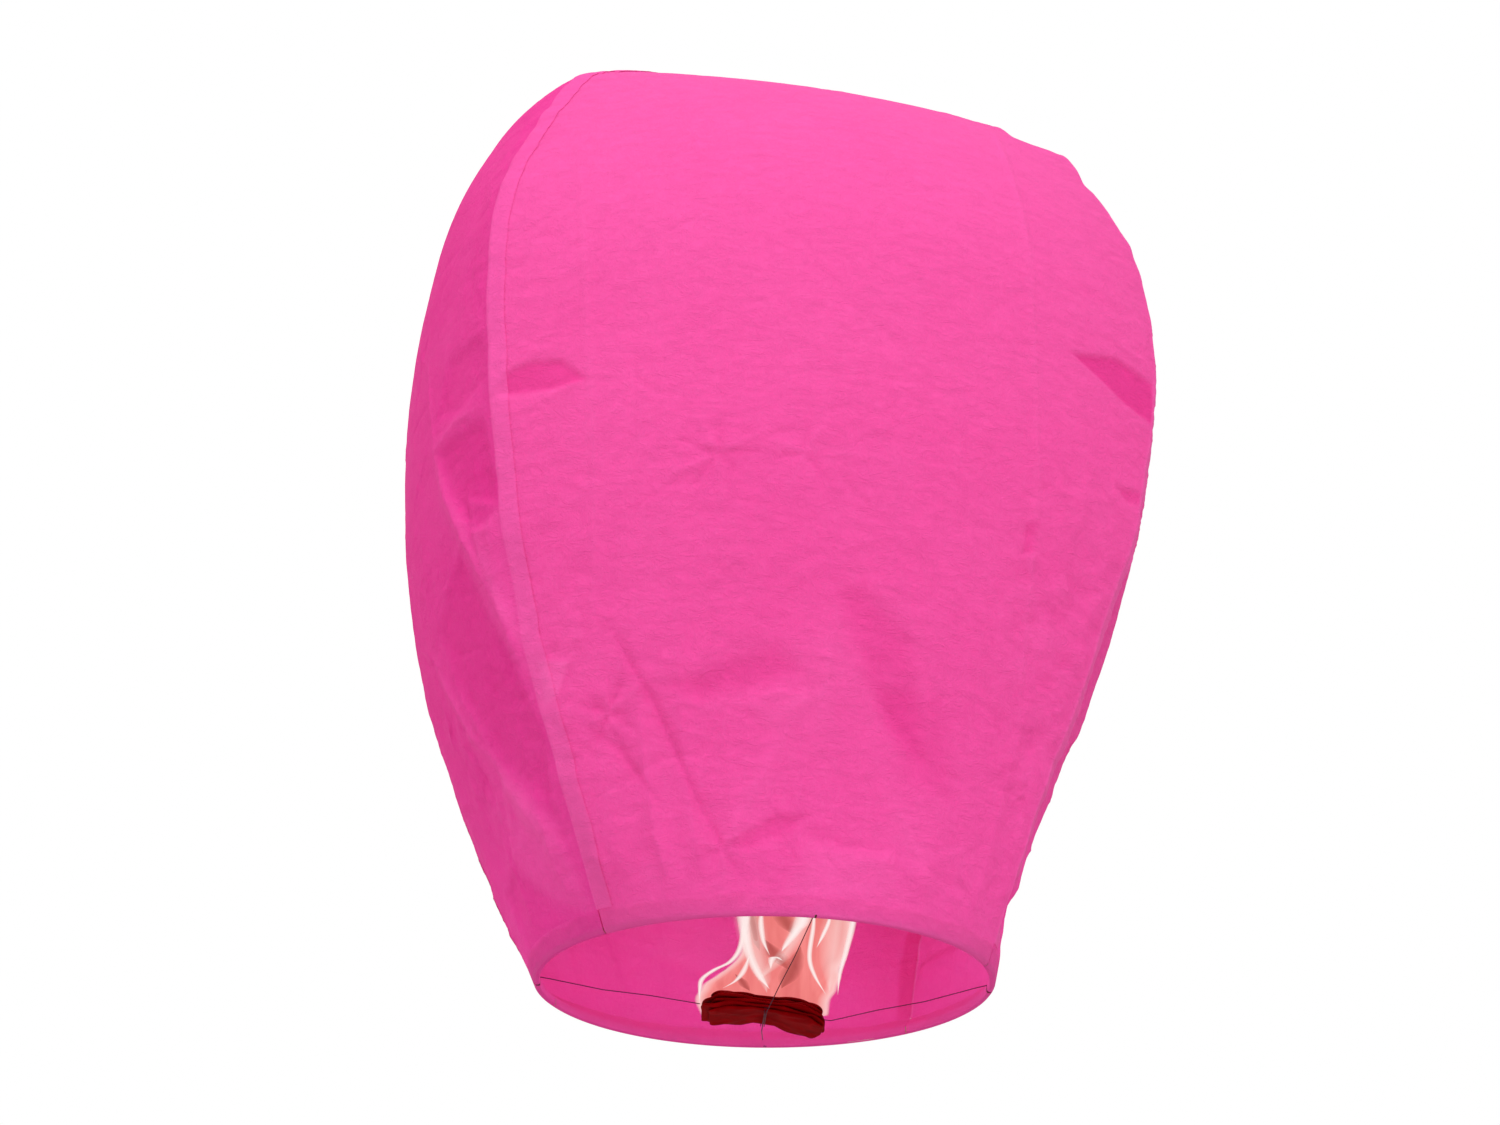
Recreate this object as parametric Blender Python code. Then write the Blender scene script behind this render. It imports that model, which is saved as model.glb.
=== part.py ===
"""Paper sky lantern: four lapped paper gores on a bamboo hoop, with a waxed fuel pad on crossed wires.

The origin is the middle of the hoop, in the plane of the hem's underside. +Z points up to the crown.
The wide front gore faces -Y. Every panel is named front, right, back or left, anticlockwise from above,
and each gore's glue flap laps over the next panel. Lengths are in metres.
"""

import math

import bmesh
import bpy
import numpy as np
from mathutils import Matrix, Vector

# Paper
PAPER = 0.0004
GAP = 0.0003
LAP = 0.015
LAP_LIFT = PAPER + GAP
SEAM_INSET = 0.001
PATCH_LIFT = 0.0020

# Hoop and the hem folded round it
HEM_RADIUS = 0.1898
SEAM_ANGLE = math.radians(56.5)
HOOP_OUTER = 0.1877
HOOP_THICK = 0.0016
HOOP_BOTTOM = 0.0012
HOOP_HEIGHT = 0.005
HEM_LEG_RADIUS = 0.185
HEM_KNEE_HEIGHT = 0.0068
HEM_LEG_SHARE = 0.02
SPLICE_ANGLE = math.radians(48)
SPLICE_SPAN = math.radians(18)
TAPE_SPAN = math.radians(8)
TAPE_THICK = 0.0003

# Wires; each end's angle is measured from the middle of its panel, anticlockwise from above
WIRE_RADIUS = 0.0004
WIRE_SIDES = 6
WIRE_ANGLES = {"front": -3, "right": -10, "back": -15, "left": -15}
WRAP_PITCH = 0.0015
NOTCH_HALF = 0.004

# Fuel pad: a stack of waxed layers pinched at the waist by a tie wire
PAD_TURN = math.radians(-12)
PAD_TILT = math.radians(6.5)
PAD_AXIS_HEIGHT = -0.022
LAYER_SIZES = ((0.096, 0.054), (0.104, 0.058), (0.100, 0.060), (0.102, 0.056), (0.094, 0.052))
LAYER_THICK = 0.0033
WAIST_THICK = 0.0016
WAIST_HALF = 0.019
WAIST_LENGTH = 0.016
LAYERS_BELOW_WIRE = 3
GROOVE_DEPTH = 0.0006
UNDER_WIRE_DROP = 0.0102

# Stations up a seam, in millimetres: the share of the way up, the height, half the width and half the
# depth between the seams, how far the wide and the narrow panels bulge out, and the lean to the right.
# The first station is the hoop, and the last is the crown.
STATIONS = (
    (0.10, 85, 186, 136, 60, 26, -8),
    (0.25, 235, 238, 160, 68, 38, -7),
    (0.45, 430, 284, 180, 82, 34, 4),
    (0.62, 595, 290, 178, 86, 27, 9),
    (0.77, 715, 245, 155, 58, 41, 9),
    (0.88, 778, 199, 124, 27, 38, 12),
    (0.95, 803, 130, 86, 12, 20, 17),
    (1.00, 815, 0, 0, 0, 0, 19),
)
ROW_SHARES = (0.0, HEM_LEG_SHARE, 0.06, 0.11, 0.18, 0.26, 0.35, 0.44, 0.53, 0.62, 0.70, 0.77, 0.83,
              0.88, 0.92, 0.95, 0.97, 0.985, 0.995)
PATCH_SHARES = (0.985, 0.995)

PANELS = ("front", "right", "back", "left")
ALONG = {"front": (1, 0), "right": (0, 1), "back": (-1, 0), "left": (0, -1)}
WIDE = ("front", "back")
STRIPS = {"front": 10, "right": 6, "back": 10, "left": 6}


def clear_scene():
    for item in list(bpy.data.objects):
        bpy.data.objects.remove(item)


# ---------------------------------------------------------------- the envelope's surface


def station_table():
    """The stations in metres, with the hoop's own station first."""
    half_width = HEM_RADIUS * math.sin(SEAM_ANGLE)
    half_depth = HEM_RADIUS * math.cos(SEAM_ANGLE)
    hoop = (0, 0, half_width, half_depth, HEM_RADIUS - half_depth, HEM_RADIUS - half_width, 0)
    above = [(row[0], *(value / 1000 for value in row[1:])) for row in STATIONS]
    return np.array([hoop, *above])


TABLE = station_table()
SLOPES = np.gradient(TABLE, TABLE[:, 0], axis=0)


def station(share):
    """Height, half width, half depth, wide bulge, narrow bulge and lean on a smooth curve."""
    shares = TABLE[:, 0]
    low = int(np.clip(np.searchsorted(shares, share, side="right") - 1, 0, len(shares) - 2))
    step = shares[low + 1] - shares[low]
    t = (share - shares[low]) / step
    start = (2 * t**3 - 3 * t**2 + 1) * TABLE[low] + (t**3 - 2 * t**2 + t) * step * SLOPES[low]
    end = (3 * t**2 - 2 * t**3) * TABLE[low + 1] + (t**3 - t**2) * step * SLOPES[low + 1]
    return (start + end)[1:]


def panel_arc(panel, share):
    """An arc's radius, half angle, bulge and the distance of its chord from the middle."""
    _, half_width, half_depth, wide_bulge, narrow_bulge, _ = station(share)
    if panel in WIDE:
        chord, reach, bulge = half_width, half_depth, wide_bulge
    else:
        chord, reach, bulge = half_depth, half_width, narrow_bulge
    radius = (chord**2 + bulge**2) / (2 * bulge)
    return radius, math.asin(chord / radius), bulge, reach


def wall_point(panel, turn, share):
    """A point on the wall; turn runs from -1 at the panel's first seam to 1 at its last."""
    radius, half_angle, bulge, reach = panel_arc(panel, share)
    height, lean = station(share)[[0, 5]]
    sideways = radius * math.sin(turn * half_angle)
    out = reach + bulge - radius * (1 - math.cos(turn * half_angle))
    x, y = ALONG[panel]
    return Vector((lean + x * sideways + y * out, y * sideways - x * out, height))


def outward(panel, turn, share):
    """The wall's outward normal."""
    step = 0.002
    across = wall_point(panel, turn + step, share) - wall_point(panel, turn - step, share)
    up = wall_point(panel, turn, share + step) - wall_point(panel, turn, share - step)
    return across.cross(up).normalized()


def next_panel(panel):
    return PANELS[(PANELS.index(panel) + 1) % len(PANELS)]


def inset_point(panel, end, inset, share, lift):
    """A point a fixed distance in from a panel's first (end -1) or last (end 1) seam."""
    radius, half_angle, _, _ = panel_arc(panel, share)
    half_length = radius * half_angle
    turn = end * (1 - min(inset / half_length, 1.2 / STRIPS[panel]))
    return wall_point(panel, turn, share) + outward(panel, turn, share) * lift


def turned_point(panel, turn, share, lift):
    return wall_point(panel, turn, share) + outward(panel, turn, share) * lift


def corner_point(panel, share, lift):
    """The last seam of a panel, lifted square to both of the panels that meet there."""
    own = outward(panel, 1, share)
    mean = (own + outward(next_panel(panel), -1, share)).normalized()
    return wall_point(panel, 1, share) + mean * (lift / mean.dot(own))


# ---------------------------------------------------------------- mesh helpers


def paint(item, colour, roughness, metallic=0.0):
    material = bpy.data.materials.new(item.name)
    material.use_nodes = True
    shader = material.node_tree.nodes["Principled BSDF"]
    shader.inputs["Base Color"].default_value = (*colour, 1)
    shader.inputs["Roughness"].default_value = roughness
    shader.inputs["Metallic"].default_value = metallic
    item.data.materials.append(material)


def add_object(name, points, faces, origin=(0, 0, 0), parent=None):
    """An object whose mesh is given about its origin, shaded smooth but for its sharp edges."""
    mesh = bpy.data.meshes.new(name)
    mesh.from_pydata([tuple(point) for point in points], [], faces)
    mesh.shade_smooth()
    mesh.set_sharp_from_angle(angle=math.radians(40))
    item = bpy.data.objects.new(name, mesh)
    item.location = origin
    item.parent = parent
    bpy.context.collection.objects.link(item)
    return item


def thicken(item, thickness):
    solid = item.modifiers.new("Paper", "SOLIDIFY")
    solid.thickness = thickness
    solid.offset = 0
    solid.use_even_offset = True


def tube(path, radius, sides):
    """Points and faces of a capped tube along a path."""
    path = [Vector(point) for point in path]
    points = []
    faces = []
    across = Vector((0, 0, 1))
    for index, point in enumerate(path):
        ahead = path[min(index + 1, len(path) - 1)] - point
        behind = point - path[max(index - 1, 0)]
        heading = (ahead.normalized() + behind.normalized()).normalized()
        across = (across - heading * across.dot(heading)).normalized()
        upward = heading.cross(across)
        for side in range(sides):
            angle = math.tau * side / sides
            points.append(point + across * (radius * math.cos(angle)) + upward * (radius * math.sin(angle)))
    for ring in range(len(path) - 1):
        for side in range(sides):
            first = ring * sides + side
            second = ring * sides + (side + 1) % sides
            faces.append((first, second, second + sides, first + sides))
    faces.append(tuple(reversed(range(sides))))
    faces.append(tuple(range(len(points) - sides, len(points))))
    return points, faces


def loft(sections):
    """Points and faces of a solid through equal rings of points, each ring running anticlockwise."""
    size = len(sections[0])
    points = [point for section in sections for point in section]
    faces = []
    for ring in range(len(sections) - 1):
        for side in range(size):
            first = ring * size + side
            second = ring * size + (side + 1) % size
            faces.append((first, second, second + size, first + size))
    faces.append(tuple(reversed(range(size))))
    faces.append(tuple(range(len(points) - size, len(points))))
    return points, faces


# ---------------------------------------------------------------- gores and crown patch


def wire_turn(panel):
    """Where a wire leaves a panel's hem, as a turn."""
    half_angle = SEAM_ANGLE if panel in WIDE else math.pi / 2 - SEAM_ANGLE
    return math.radians(WIRE_ANGLES[panel]) / half_angle


def gore_turns(panel):
    """Inner columns of a gore: even strips, moved so that two columns flank the wire's notch."""
    half_length = HEM_RADIUS * (SEAM_ANGLE if panel in WIDE else math.pi / 2 - SEAM_ANGLE)
    middle = wire_turn(panel)
    notch = NOTCH_HALF / half_length
    even = np.linspace(-1, 1, STRIPS[panel] + 1)[1:-1]
    clear = [turn for turn in even if abs(turn - middle) > 0.6 / STRIPS[panel] + notch]
    return sorted([*clear, middle - notch, middle + notch])


def gore_columns(panel):
    """Each column is a function of a share of the way up and a lift off the wall."""
    columns = [lambda share, lift, inset=inset: inset_point(panel, -1, inset, share, lift)
               for inset in (SEAM_INSET, LAP)]
    columns += [lambda share, lift, turn=turn: turned_point(panel, turn, share, lift)
                for turn in gore_turns(panel)]
    columns.append(lambda share, lift: inset_point(panel, 1, LAP, share, lift))
    columns.append(lambda share, lift: corner_point(panel, share, lift + LAP_LIFT))
    columns.append(lambda share, lift: inset_point(next_panel(panel), -1, LAP, share, lift + LAP_LIFT))
    return columns


def hem_points(column):
    """A column's points from the top of the hem's inner leg, down and under the hoop."""
    edge = column(0, 0)
    direction = Vector((edge.x, edge.y, 0)).normalized()
    leg_top = column(HEM_LEG_SHARE, -PAPER - GAP)
    knee = direction * HEM_LEG_RADIUS + Vector((0, 0, HEM_KNEE_HEIGHT))
    foot = direction * HEM_LEG_RADIUS + Vector((0, 0, PAPER / 2))
    return [leg_top, knee, foot]


def gore(panel):
    """A paper panel with its hem folded under the hoop and its flap lapped over the next panel."""
    columns = gore_columns(panel)
    flap = len(columns) - 1
    notch = next(index + 2 for index, turn in enumerate(gore_turns(panel)) if turn > wire_turn(panel)) - 1
    grid = []
    for index, column in enumerate(columns):
        wall = [column(share, 0) for share in ROW_SHARES]
        wall[0].z = PAPER / 2
        hem = hem_points(column)
        if index == flap - 1:
            hem[0] = column(HEM_LEG_SHARE, -PAPER - GAP - LAP_LIFT)
        grid.append(hem + wall)
    rows = len(grid[0])
    faces = []
    for index in range(len(columns) - 1):
        for row in range(rows - 1):
            in_hem = row < 3
            if in_hem and index in (notch, flap - 1):
                continue
            corner = index * rows + row
            faces.append((corner, corner + rows, corner + rows + 1, corner + 1))
    item = add_object(panel + "_gore", [point for line in grid for point in line], faces)
    drop_loose_points(item.data)
    thicken(item, PAPER)
    paint(item, (0.86, 0.09, 0.36), 0.6)


def drop_loose_points(mesh):
    sheet = bmesh.new()
    sheet.from_mesh(mesh)
    loose = [vert for vert in sheet.verts if not vert.link_faces]
    bmesh.ops.delete(sheet, geom=loose, context="VERTS")
    sheet.to_mesh(mesh)
    sheet.free()


def crown_patch():
    """The paper seal over the point where the four gores' tips meet; its origin is the crown."""
    height, lean = TABLE[-1][[1, 6]]
    crown = Vector((lean, 0, height))
    rings = []
    for share in PATCH_SHARES:
        ring = []
        for panel in PANELS:
            ring.append(corner_point(PANELS[PANELS.index(panel) - 1], share, PATCH_LIFT))
            ring += [turned_point(panel, turn, share, PATCH_LIFT) for turn in (-0.6, -0.2, 0.2, 0.6)]
        rings.append(ring)
    size = len(rings[0])
    points = [point - crown for ring in rings for point in ring] + [Vector((0, 0, PATCH_LIFT))]
    faces = []
    for side in range(size):
        following = (side + 1) % size
        faces.append((side, following, following + size, side + size))
        faces.append((side + size, following + size, 2 * size))
    item = add_object("crown_patch", points, faces, origin=crown)
    thicken(item, PAPER)
    paint(item, (0.88, 0.12, 0.4), 0.6)


# ---------------------------------------------------------------- hoop


def strip_section(angle, inner, outer, low, high):
    out = Vector((math.cos(angle), math.sin(angle), 0))
    corners = ((inner, low), (inner, high), (outer, high), (outer, low))
    return [out * radius + Vector((0, 0, height)) for radius, height in corners]


def hoop_strip():
    """A split bamboo strip bent to a ring, its thinned ends overlapped in a scarf."""
    inner = HOOP_OUTER - HOOP_THICK
    thin = (HOOP_THICK - GAP) / 2
    ramp = math.radians(3)
    total = math.tau + SPLICE_SPAN
    start = SPLICE_ANGLE - SPLICE_SPAN / 2
    scarf = np.linspace(0, SPLICE_SPAN, 10)
    body = np.linspace(SPLICE_SPAN + ramp, total - SPLICE_SPAN - ramp, 56)
    steps = [*scarf, *body, *(total - scarf[::-1])]
    sections = []
    for step in steps:
        low_radius = inner + HOOP_THICK - thin if step <= SPLICE_SPAN else inner
        high_radius = inner + thin if step >= total - SPLICE_SPAN else HOOP_OUTER
        sections.append(strip_section(start + step, low_radius, high_radius, HOOP_BOTTOM,
                                      HOOP_BOTTOM + HOOP_HEIGHT))
    item = add_object("hoop_strip", *loft(sections))
    paint(item, (0.72, 0.55, 0.32), 0.65)


def hoop_splice_tape():
    """A paper band bound round the hoop's overlapped ends."""
    near = GAP
    far = GAP + TAPE_THICK
    inner = HOOP_OUTER - HOOP_THICK
    top = HOOP_BOTTOM + HOOP_HEIGHT
    rings = []
    for angle in np.linspace(SPLICE_ANGLE - TAPE_SPAN / 2, SPLICE_ANGLE + TAPE_SPAN / 2, 5):
        inside = strip_section(angle, inner - near, HOOP_OUTER + near, HOOP_BOTTOM - near, top + near)
        outside = strip_section(angle, inner - far, HOOP_OUTER + far, HOOP_BOTTOM - far, top + far)
        rings.append((inside, outside))
    points = [point for inside, outside in rings for point in inside + outside]
    faces = []
    for ring in range(len(rings)):
        for side in range(4):
            following = (side + 1) % 4
            first = ring * 8 + side
            second = ring * 8 + following
            if ring < len(rings) - 1:
                faces.append((first, first + 8, second + 8, second))
                faces.append((first + 4, second + 4, second + 12, first + 12))
            if ring == 0:
                faces.append((first, second, second + 4, first + 4))
            if ring == len(rings) - 1:
                faces.append((first + 4, second + 4, second, first))
    item = add_object("hoop_splice_tape", points, faces)
    paint(item, (0.8, 0.74, 0.62), 0.8)


# ---------------------------------------------------------------- wires


def hoop_direction(panel):
    """The outward and the anticlockwise direction where a wire is tied to the hoop."""
    x, y = ALONG[panel]
    turn = Matrix.Rotation(math.radians(WIRE_ANGLES[panel]), 3, "Z")
    return turn @ Vector((y, -x, 0)), turn @ Vector((x, y, 0))


def wrap(panel):
    """A wire's turns round the hoop, ending at its top on the inside, headed for the middle."""
    out, sideways = hoop_direction(panel)
    reach = WIRE_RADIUS + GAP
    inner = HOOP_OUTER - HOOP_THICK
    top = HOOP_BOTTOM + HOOP_HEIGHT
    corners = ((HOOP_OUTER, top), (inner, top), (inner, HOOP_BOTTOM), (HOOP_OUTER, HOOP_BOTTOM))
    bends = [(quarter % 4, (quarter % 4) * 90 + swing) for quarter in range(2, 9) for swing in (0, 45, 90)]
    bends += [(1, 90), (1, 135)]
    path = []
    for index, (corner, angle) in enumerate(bends):
        radius, height = corners[corner]
        slide = WRAP_PITCH * (index / 12 - 1)
        radius += reach * math.cos(math.radians(angle))
        height += reach * math.sin(math.radians(angle))
        path.append(out * radius + sideways * slide + Vector((0, 0, height)))
    return path


def pad_frame():
    """The pad's own frame: X along it on the carrying wire, its right end hanging lower, Z up."""
    turn = Matrix.Rotation(PAD_TURN, 4, "Z") @ Matrix.Rotation(PAD_TILT, 4, "Y")
    return Matrix.Translation((0, 0, PAD_AXIS_HEIGHT)) @ turn


def wire(name, first_panel, last_panel, crossing):
    """A wire tied to the hoop at both ends, through the given points of the pad's frame."""
    middle = [pad_frame() @ Vector(point) for point in crossing]
    path = wrap(first_panel)
    path += [path[-1].lerp(middle[0], share) for share in (0.06, 0.4, 0.7)]
    path[-2].z -= 0.0018
    path += middle
    far_end = list(reversed(wrap(last_panel)))
    path += [middle[-1].lerp(far_end[0], share) for share in (0.3, 0.6, 0.94)]
    path[-2].z -= 0.0018
    path += far_end
    item = add_object(name, *tube(path, WIRE_RADIUS, WIRE_SIDES))
    paint(item, (0.35, 0.33, 0.32), 0.45, metallic=1.0)


def carrying_wire():
    """The wire that runs left to right through the pad's layers."""
    half = LAYER_SIZES[1][0] / 2 + 0.003
    wire("carrying_wire", "left", "right", ((-half, 0, 0), (0, 0, 0), (half, 0, 0)))


def cross_wire():
    """The wire that runs front to back, under the pad's waist."""
    edge = WAIST_HALF + 0.002
    drop = UNDER_WIRE_DROP
    wire("cross_wire", "front", "back", ((0, -edge, -drop), (0, 0, -drop + 0.0012), (0, edge, -drop)))


# ---------------------------------------------------------------- fuel pad


def pinch(x):
    """1 at the pad's waist, falling to 0 towards its ends."""
    return math.exp(-((x / WAIST_LENGTH) ** 2))


def layer_thickness(x):
    return LAYER_THICK - (LAYER_THICK - WAIST_THICK) * pinch(x)


def layer_floor(index, x):
    """The height of a layer's underside above the carrying wire."""
    place = index - LAYERS_BELOW_WIRE
    return place * (layer_thickness(x) + GAP) + GAP / 2


def fuel_layer(index, parent):
    """One folded waxed layer, a bow-tie in plan, thinner round its rim."""
    length, width = LAYER_SIZES[index]
    along = [share * length / 2 for share in (-1, -0.86, -0.55, -0.26, 0, 0.26, 0.55, 0.86, 1)]
    across = (-1, -0.72, -0.16, -0.06, 0.06, 0.16, 0.72, 1)
    groove_side = {LAYERS_BELOW_WIRE - 1: "top", LAYERS_BELOW_WIRE: "floor"}.get(index)
    tops = []
    floors = []
    for x in along:
        end = (abs(x) / (length / 2)) ** 8
        half = width / 2 - (width / 2 - WAIST_HALF) * pinch(x) - 0.006 * end
        thick = layer_thickness(x)
        for share in across:
            rim = 0.3 * thick * max(abs(share) ** 8, end)
            floor = layer_floor(index, x) + rim
            top = layer_floor(index, x) + thick - rim
            if abs(share) < 0.1:
                top -= GROOVE_DEPTH * (groove_side == "top")
                floor += GROOVE_DEPTH * (groove_side == "floor")
            tops.append(Vector((x, share * half, top)))
            floors.append(Vector((x, share * half, floor)))
    wide = len(across)
    count = len(tops)
    faces = []
    for row in range(len(along) - 1):
        for column in range(wide - 1):
            first = row * wide + column
            faces.append((first, first + wide, first + wide + 1, first + 1))
            faces.append((first + count, first + count + 1, first + count + wide + 1, first + count + wide))
    rim_loop = [row * wide for row in range(len(along))]
    rim_loop += [(len(along) - 1) * wide + column for column in range(1, wide)]
    rim_loop += [row * wide + wide - 1 for row in reversed(range(len(along) - 1))]
    rim_loop += [column for column in reversed(range(1, wide - 1))]
    for index_now, point in enumerate(rim_loop):
        following = rim_loop[(index_now + 1) % len(rim_loop)]
        faces.append((point, point + count, following + count, following))
    item = add_object(f"fuel_layer_{index + 1}", tops + floors, faces, parent=parent)
    paint(item, (0.13, 0.005, 0.008), 0.45)


def pad_tie_wire(parent):
    """Two turns of wire that pinch the pad's waist."""
    reach = WIRE_RADIUS + 2 * GAP
    low = layer_floor(0, 0)
    high = layer_floor(len(LAYER_SIZES), 0) - GAP
    side = WAIST_HALF
    corners = ((side, high), (-side, high), (-side, low), (side, low))
    path = []
    for step in range(26):
        quarter, swing = divmod(step + 9, 3)
        angle = math.radians((quarter % 4) * 90 + swing * 45)
        y, z = corners[quarter % 4]
        slide = WRAP_PITCH * (step / 12 - 1)
        path.append(Vector((slide, y + reach * math.cos(angle), z + reach * math.sin(angle))))
    item = add_object("pad_tie_wire", *tube(path, WIRE_RADIUS, WIRE_SIDES), parent=parent)
    paint(item, (0.35, 0.33, 0.32), 0.45, metallic=1.0)


def fuel_pad():
    axis = bpy.data.objects.new("fuel_pad_axis", None)
    axis.matrix_world = pad_frame()
    bpy.context.collection.objects.link(axis)
    for index in range(len(LAYER_SIZES)):
        fuel_layer(index, axis)
    pad_tie_wire(axis)


clear_scene()
for panel_name in PANELS:
    gore(panel_name)
crown_patch()
hoop_strip()
hoop_splice_tape()
carrying_wire()
cross_wire()
fuel_pad()
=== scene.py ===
"""Looks for the paper sky lantern: creased tissue, a wax pad, wires and a flame, round the CAD frame."""

import math

import bpy
import numpy as np
from mathutils import Matrix, Vector


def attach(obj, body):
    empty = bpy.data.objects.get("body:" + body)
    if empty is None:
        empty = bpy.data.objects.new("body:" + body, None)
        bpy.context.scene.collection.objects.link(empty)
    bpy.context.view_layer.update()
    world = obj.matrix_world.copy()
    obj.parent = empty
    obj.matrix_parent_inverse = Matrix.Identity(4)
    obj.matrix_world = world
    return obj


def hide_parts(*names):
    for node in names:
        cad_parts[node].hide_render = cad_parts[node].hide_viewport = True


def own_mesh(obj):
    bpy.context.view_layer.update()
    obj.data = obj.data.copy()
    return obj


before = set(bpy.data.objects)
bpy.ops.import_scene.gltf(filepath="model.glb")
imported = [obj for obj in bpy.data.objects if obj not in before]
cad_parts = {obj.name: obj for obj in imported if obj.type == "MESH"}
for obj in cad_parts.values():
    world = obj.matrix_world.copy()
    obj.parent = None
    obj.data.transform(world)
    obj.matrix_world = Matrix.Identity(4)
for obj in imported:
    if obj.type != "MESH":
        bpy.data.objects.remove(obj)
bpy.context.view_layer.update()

# Driving sizes, in metres or shares of the way up, the same as the part's
HEM_RADIUS = 0.1898
SEAM_ANGLE = math.radians(56.5)
LEG_RADIUS = 0.185
KNEE_HEIGHT = 0.0068
PAPER_GAP = 0.0007
LAP = 0.015
LEG_SHARE = 0.02
TOP_SHARE = 0.995
PATCH_SHARE = 0.985
PATCH_LIFT = 0.002
WIRE_ANGLES = {"front": -3, "right": -10, "back": -15, "left": -15}
# Half the slot in the hem at each wire, narrower than the part's so that the hoop stays hidden
NOTCH_HALF = 0.0012

# The gores in order round the hoop, and which way each one runs across, seen from outside
PANELS = ("front", "right", "back", "left")
ALONG = {"front": (1, 0), "right": (0, 1), "back": (-1, 0), "left": (0, -1)}
WIDE = ("front", "back")
# Painted light and shade per gore: how far its pink goes from the deeper shaded-side pink towards the paler
# lit pinks, which change with height
LIT_SIDE_SHARE = {"front": 1.0, "right": 0.5, "back": 0.5, "left": 0.0}
# Up the bag: share of the way, then height, half width, half depth, wide bulge, narrow bulge and
# lean in millimetres
STATIONS = (
    (0.10, 85, 186, 136, 60, 26, -8),
    (0.25, 235, 238, 160, 68, 38, -7),
    (0.45, 430, 284, 180, 82, 34, 4),
    (0.62, 595, 290, 178, 86, 27, 9),
    (0.77, 715, 245, 155, 58, 41, 9),
    (0.88, 778, 199, 124, 27, 38, 12),
    (0.95, 803, 130, 86, 12, 20, 17),
    (1.00, 815, 0, 0, 0, 0, 19),
)

# How fine the paper meshes are, and how many small creases each gore keeps
COLUMNS = {"front": 235, "right": 110, "back": 150, "left": 140}
ROWS = 400
FLAP_COLUMNS = 7
CREASES = 90


# ---- the envelope's surface


def smooth_curve(x, xs, rows):
    """A smooth curve through rows of values, one row for each of xs."""
    slopes = np.gradient(rows, xs, axis=0)
    low = np.clip(np.searchsorted(xs, x, side="right") - 1, 0, len(xs) - 2)
    step = (xs[low + 1] - xs[low])[..., None]
    t = (x - xs[low])[..., None] / step
    start = (2 * t**3 - 3 * t**2 + 1) * rows[low] + (t**3 - 2 * t**2 + t) * step * slopes[low]
    end = (3 * t**2 - 2 * t**3) * rows[low + 1] + (t**3 - t**2) * step * slopes[low + 1]
    return start + end


def station_table():
    """The stations in metres, with the hoop's own station first."""
    half_width = HEM_RADIUS * math.sin(SEAM_ANGLE)
    half_depth = HEM_RADIUS * math.cos(SEAM_ANGLE)
    hoop = (0, 0, half_width, half_depth, HEM_RADIUS - half_depth, HEM_RADIUS - half_width, 0)
    above = [(row[0], *(value / 1000 for value in row[1:])) for row in STATIONS]
    return np.array([hoop, *above])


TABLE = station_table()


def station(share):
    """Height, half width, half depth, wide bulge, narrow bulge and lean, for an array of shares."""
    return np.moveaxis(smooth_curve(share, TABLE[:, 0], TABLE)[..., 1:], -1, 0)


def panel_arc(panel, share):
    """Arc radius, half angle, bulge and the distance of the chord from the middle."""
    _, half_width, half_depth, wide_bulge, narrow_bulge, _ = station(share)
    if panel in WIDE:
        chord, reach, bulge = half_width, half_depth, wide_bulge
    else:
        chord, reach, bulge = half_depth, half_width, narrow_bulge
    radius = (chord**2 + bulge**2) / (2 * bulge)
    return radius, np.arcsin(np.clip(chord / radius, -1, 1)), bulge, reach


def half_length(panel, share):
    """Half the paper's width round the arc from seam to seam."""
    radius, half_angle, _, _ = panel_arc(panel, share)
    return radius * half_angle


def wall_points(panel, turn, share):
    """Points on the smooth wall; turn runs from -1 to 1 between a panel's seams."""
    radius, half_angle, bulge, reach = panel_arc(panel, share)
    height, _, _, _, _, lean = station(share)
    sideways = radius * np.sin(turn * half_angle)
    out = reach + bulge - radius * (1 - np.cos(turn * half_angle))
    x, y = ALONG[panel]
    return np.stack([lean + x * sideways + y * out, y * sideways - x * out, height], -1)


def unit(vectors):
    return vectors / np.maximum(np.linalg.norm(vectors, axis=-1, keepdims=True), 1e-12)


def wall_normals(panel, turn, share):
    step = 0.002
    across = wall_points(panel, turn + step, share) - wall_points(panel, turn - step, share)
    up = wall_points(panel, turn, share + step) - wall_points(panel, turn, share - step)
    return unit(np.cross(across, up))


def next_panel(panel):
    return PANELS[(PANELS.index(panel) + 1) % len(PANELS)]


SEAM_SHARES = np.linspace(0, TOP_SHARE, 400)


def length_table(panel):
    """How far up the middle of a panel each share lies, in metres of paper."""
    points = wall_points(panel, np.zeros_like(SEAM_SHARES), SEAM_SHARES)
    steps = np.linalg.norm(np.diff(points, axis=0), axis=1)
    return np.concatenate([[0], np.cumsum(steps)])


LENGTHS = {panel: length_table(panel) for panel in PANELS}


# ---- creases, dents and crumples


# Widths and depths of the general wear, and how far it reaches from a seam or the hem, in metres
STAR_WIDTH = 0.0022
CREASE_WIDTH = 0.0028
PUCKER_DEPTH = 0.0048
PUCKER_REACH = 0.03
PLEAT_DEPTH = 0.0035
PLEAT_REACH = 0.17


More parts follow.
